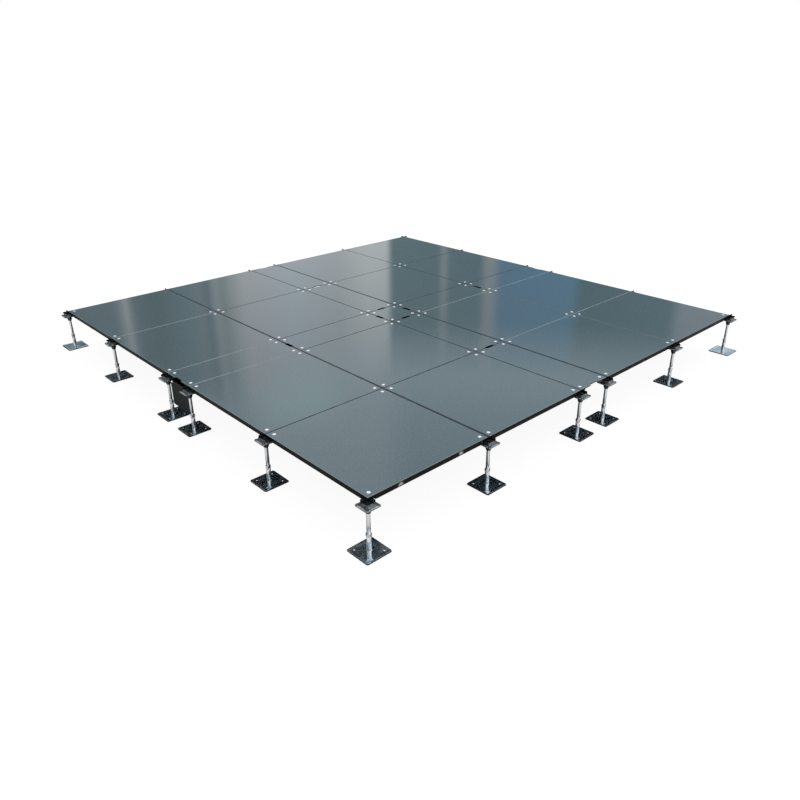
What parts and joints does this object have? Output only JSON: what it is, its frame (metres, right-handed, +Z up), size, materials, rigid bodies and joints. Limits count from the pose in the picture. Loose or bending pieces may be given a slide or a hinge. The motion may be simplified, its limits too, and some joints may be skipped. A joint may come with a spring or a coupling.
{
  "type": "raised access floor section",
  "caption": "Raised access floor section: square steel panels and narrow cover strips with cable slots, screwed to height-adjustable pedestals, with a cable trough under one strip.",
  "frame": {"origin": "centre of the footprint on the slab, under the base plates", "axes": "+Z up; +X along the strip that has the cable trough; +Y along the other strip"},
  "size_m": [2.712, 2.712, 0.212],
  "materials": {
    "floor_coat": "semi-gloss fine-textured powder coat",
    "bright_zinc": "bright zinc plate",
    "tube_zinc": "bright zinc plate",
    "head_metal": "satin cast grey",
    "black_plastic": "matt moulded",
    "screw_nickel": "bright nickel",
    "trough_coat": "dark satin coat"
  },
  "bodies": {
    "base": {"base_plates": "bright_zinc", "pedestal_tubes": "tube_zinc", "levelling_nuts": "bright_zinc"},
    "deck": {"panel_a1": "floor_coat", "panel_a2": "floor_coat", "panel_a3": "floor_coat", "panel_a4": "floor_coat", "panel_b1": "floor_coat", "panel_b2": "floor_coat", "panel_b3": "floor_coat", "panel_b4": "floor_coat", "panel_c1": "floor_coat", "panel_c2": "floor_coat", "panel_c3": "floor_coat", "panel_c4": "floor_coat", "panel_d1": "floor_coat", "panel_d2": "floor_coat", "panel_d3": "floor_coat", "panel_d4": "floor_coat", "trough_cover_1": "floor_coat", "trough_cover_2": "floor_coat", "trough_cover_3": "floor_coat", "trough_cover_4": "floor_coat", "strip_cover_1": "floor_coat", "strip_cover_2": "floor_coat", "strip_cover_3": "floor_coat", "strip_cover_4": "floor_coat", "cross_cover": "floor_coat", "threaded_stems": "bright_zinc", "pedestal_heads": "head_metal", "locating_caps": "black_plastic", "panel_screws": "screw_nickel", "cable_trough": "trough_coat", "trough_end_left": "trough_coat", "trough_end_right": "trough_coat", "trough_rivets": "screw_nickel"}
  },
  "joints": [
    {"name": "deck_levelling", "type": "slide", "parent": "base", "child": "deck", "axis": [0, 0, 1], "range_m": [-0.03, 0.03]}
  ]
}
